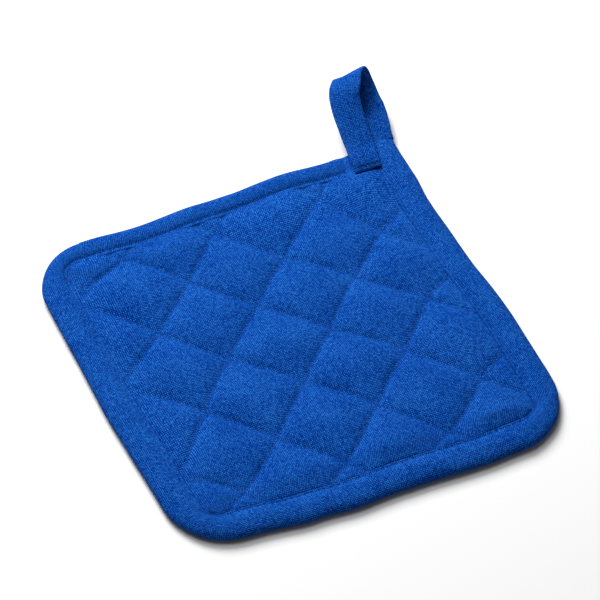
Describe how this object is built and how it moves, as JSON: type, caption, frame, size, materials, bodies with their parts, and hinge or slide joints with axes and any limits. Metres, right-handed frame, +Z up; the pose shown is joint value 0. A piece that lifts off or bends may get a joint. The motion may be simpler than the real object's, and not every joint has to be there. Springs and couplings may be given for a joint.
{
  "type": "quilted pot holder",
  "caption": "Square quilted cotton pot holder with puffed diamonds, a bound edge with rounded corners, and a folded hanging loop at a corner.",
  "frame": {"origin": "middle of the square pad, on the surface it lies on", "axes": "+Z up out of the pad's upper face, X and Y along its sides; the loop grows from the corner at +X, +Y and reaches out along +Y"},
  "size_m": [0.2079, 0.2428, 0.0232],
  "materials": {
    "quilted_cotton": "matt plain weave, heathered blue",
    "cotton_tape": "matt plain weave, heathered blue"
  },
  "bodies": {
    "root": {"quilted_pad": "quilted_cotton", "edge_binding": "cotton_tape", "hanging_loop": "cotton_tape"}
  },
  "joints": []
}
